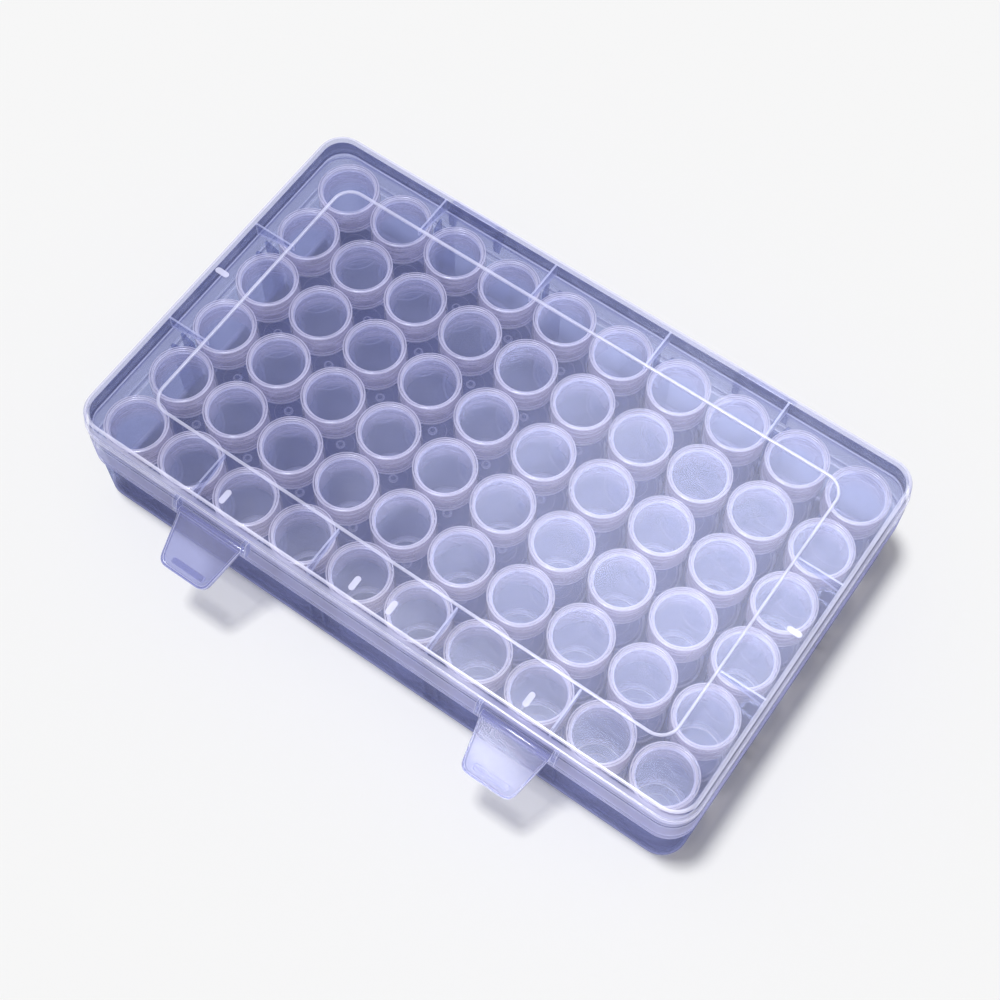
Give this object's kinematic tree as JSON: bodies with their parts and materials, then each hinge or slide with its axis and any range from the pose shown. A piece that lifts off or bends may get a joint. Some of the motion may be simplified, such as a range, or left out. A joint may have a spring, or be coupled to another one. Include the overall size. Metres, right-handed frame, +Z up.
{
  "type": "bead organizer with screw-cap jars",
  "caption": "Clear flip-top craft case with a barrel-hinged lid and two swing latches, filled with a grid of small screw-cap jars for beads.",
  "frame": {"origin": "middle of the case's underside, on the surface that it stands on", "axes": "+X along the long side to the right, +Y from the latches to the hinges, +Z up"},
  "size_m": [0.2676, 0.1867, 0.0561],
  "materials": {
    "clear_lavender_case": "clear moulded plastic with a lavender-blue tint, polished",
    "clear_lavender_latch": "clear moulded plastic with a lavender-blue tint, polished",
    "clear_lavender_jar": "clear moulded plastic with a lavender-blue tint, polished",
    "clear_lavender_cap": "clear moulded plastic with a lavender-blue tint, polished"
  },
  "bodies": {
    "base": {"base_tray": "clear_lavender_case", "jars_row_2": "clear_lavender_jar", "jars_row_3": "clear_lavender_jar", "jars_row_4": "clear_lavender_jar", "jars_row_5": "clear_lavender_jar", "jars_row_6": "clear_lavender_jar", "caps_row_2": "clear_lavender_cap", "caps_row_3": "clear_lavender_cap", "caps_row_4": "clear_lavender_cap", "caps_row_5": "clear_lavender_cap", "caps_row_6": "clear_lavender_cap"},
    "lid": {"lid": "clear_lavender_case"},
    "latch_left": {"latch_left": "clear_lavender_latch"},
    "latch_right": {"latch_right": "clear_lavender_latch"},
    "jar_1": {"jar_1": "clear_lavender_jar"},
    "cap_1": {"cap_1": "clear_lavender_cap"},
    "jar_2": {"jar_2": "clear_lavender_jar"},
    "cap_2": {"cap_2": "clear_lavender_cap"},
    "jar_3": {"jar_3": "clear_lavender_jar"},
    "cap_3": {"cap_3": "clear_lavender_cap"},
    "jar_4": {"jar_4": "clear_lavender_jar"},
    "cap_4": {"cap_4": "clear_lavender_cap"},
    "jar_5": {"jar_5": "clear_lavender_jar"},
    "cap_5": {"cap_5": "clear_lavender_cap"},
    "jar_6": {"jar_6": "clear_lavender_jar"},
    "cap_6": {"cap_6": "clear_lavender_cap"},
    "jar_7": {"jar_7": "clear_lavender_jar"},
    "cap_7": {"cap_7": "clear_lavender_cap"},
    "jar_8": {"jar_8": "clear_lavender_jar"},
    "cap_8": {"cap_8": "clear_lavender_cap"},
    "jar_9": {"jar_9": "clear_lavender_jar"},
    "cap_9": {"cap_9": "clear_lavender_cap"},
    "jar_10": {"jar_10": "clear_lavender_jar"},
    "cap_10": {"cap_10": "clear_lavender_cap"}
  },
  "joints": [
    {"name": "lid_hinge", "type": "hinge", "parent": "base", "child": "lid", "pos_m": [0, 0.0829, 0.0435], "axis": [-1, 0, 0], "range_deg": [0, 180]},
    {"name": "latch_left_hinge", "type": "hinge", "parent": "lid", "child": "latch_left", "pos_m": [-0.0673, -0.0824, 0.0425], "axis": [1, 0, 0], "range_deg": [-50, 67]},
    {"name": "latch_right_hinge", "type": "hinge", "parent": "lid", "child": "latch_right", "pos_m": [0.0673, -0.0824, 0.0425], "axis": [1, 0, 0], "range_deg": [-50, 67]},
    {"name": "jar_1_lift", "type": "slide", "parent": "base", "child": "jar_1", "axis": [0, 0, 1], "range_m": [0, 0.009]},
    {"name": "cap_1_turn", "type": "hinge", "parent": "jar_1", "child": "cap_1", "pos_m": [-0.117, -0.065, 0.038], "axis": [0, 0, 1], "range_deg": [-360, 720]},
    {"name": "jar_2_lift", "type": "slide", "parent": "base", "child": "jar_2", "axis": [0, 0, 1], "range_m": [0, 0.009]},
    {"name": "cap_2_turn", "type": "hinge", "parent": "jar_2", "child": "cap_2", "pos_m": [-0.091, -0.065, 0.038], "axis": [0, 0, 1], "range_deg": [-360, 720]},
    {"name": "jar_3_lift", "type": "slide", "parent": "base", "child": "jar_3", "axis": [0, 0, 1], "range_m": [0, 0.009]},
    {"name": "cap_3_turn", "type": "hinge", "parent": "jar_3", "child": "cap_3", "pos_m": [-0.065, -0.065, 0.038], "axis": [0, 0, 1], "range_deg": [-360, 720]},
    {"name": "jar_4_lift", "type": "slide", "parent": "base", "child": "jar_4", "axis": [0, 0, 1], "range_m": [0, 0.009]},
    {"name": "cap_4_turn", "type": "hinge", "parent": "jar_4", "child": "cap_4", "pos_m": [-0.039, -0.065, 0.038], "axis": [0, 0, 1], "range_deg": [-360, 720]},
    {"name": "jar_5_lift", "type": "slide", "parent": "base", "child": "jar_5", "axis": [0, 0, 1], "range_m": [0, 0.009]},
    {"name": "cap_5_turn", "type": "hinge", "parent": "jar_5", "child": "cap_5", "pos_m": [-0.013, -0.065, 0.038], "axis": [0, 0, 1], "range_deg": [-360, 720]},
    {"name": "jar_6_lift", "type": "slide", "parent": "base", "child": "jar_6", "axis": [0, 0, 1], "range_m": [0, 0.009]},
    {"name": "cap_6_turn", "type": "hinge", "parent": "jar_6", "child": "cap_6", "pos_m": [0.013, -0.065, 0.038], "axis": [0, 0, 1], "range_deg": [-360, 720]},
    {"name": "jar_7_lift", "type": "slide", "parent": "base", "child": "jar_7", "axis": [0, 0, 1], "range_m": [0, 0.009]},
    {"name": "cap_7_turn", "type": "hinge", "parent": "jar_7", "child": "cap_7", "pos_m": [0.039, -0.065, 0.038], "axis": [0, 0, 1], "range_deg": [-360, 720]},
    {"name": "jar_8_lift", "type": "slide", "parent": "base", "child": "jar_8", "axis": [0, 0, 1], "range_m": [0, 0.009]},
    {"name": "cap_8_turn", "type": "hinge", "parent": "jar_8", "child": "cap_8", "pos_m": [0.065, -0.065, 0.038], "axis": [0, 0, 1], "range_deg": [-360, 720]},
    {"name": "jar_9_lift", "type": "slide", "parent": "base", "child": "jar_9", "axis": [0, 0, 1], "range_m": [0, 0.009]},
    {"name": "cap_9_turn", "type": "hinge", "parent": "jar_9", "child": "cap_9", "pos_m": [0.091, -0.065, 0.038], "axis": [0, 0, 1], "range_deg": [-360, 720]},
    {"name": "jar_10_lift", "type": "slide", "parent": "base", "child": "jar_10", "axis": [0, 0, 1], "range_m": [0, 0.009]},
    {"name": "cap_10_turn", "type": "hinge", "parent": "jar_10", "child": "cap_10", "pos_m": [0.117, -0.065, 0.038], "axis": [0, 0, 1], "range_deg": [-360, 720]}
  ]
}
